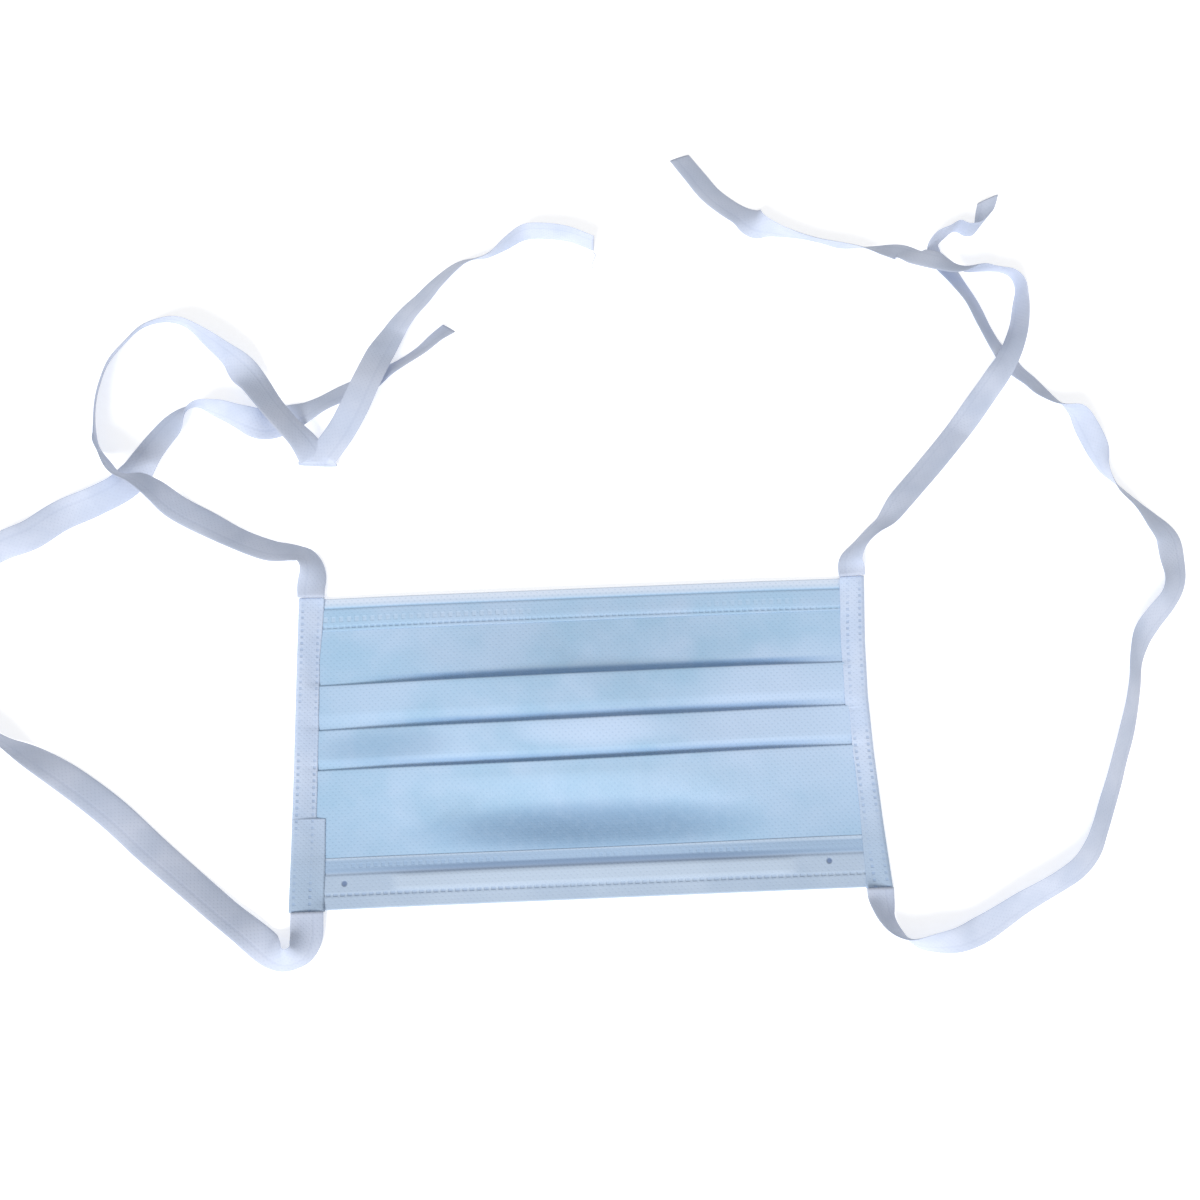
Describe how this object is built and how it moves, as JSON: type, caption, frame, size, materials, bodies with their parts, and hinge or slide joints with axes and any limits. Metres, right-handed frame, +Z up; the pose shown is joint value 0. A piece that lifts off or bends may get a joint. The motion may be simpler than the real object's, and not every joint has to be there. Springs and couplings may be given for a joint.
{
  "type": "surgical face mask",
  "caption": "Pleated tie-on surgical face mask lying flat, outer face up, with long tape ties laid loosely beside it.",
  "frame": {"origin": "middle of the body's underside outline, on the surface the mask lies on", "axes": "+Z up out of the outer face, X along the long edges, +Y towards the chin edge, the picture's top"},
  "size_m": [0.3882, 0.2639, 0.0172],
  "materials": {
    "blue_nonwoven": "matt spunbond",
    "pale_nonwoven": "matt spunbond, doubled",
    "white_tape": "matt spunbond tape",
    "coated_wire": "matt plastic"
  },
  "bodies": {
    "root": {"pleated_panel": "blue_nonwoven", "chin_hem": "blue_nonwoven", "nose_hem": "pale_nonwoven", "nose_wire": "coated_wire", "left_binding": "white_tape", "right_binding": "white_tape", "upper_left_tie": "white_tape", "lower_left_tie": "white_tape", "upper_right_tie": "white_tape", "lower_right_tie": "white_tape"}
  },
  "joints": []
}
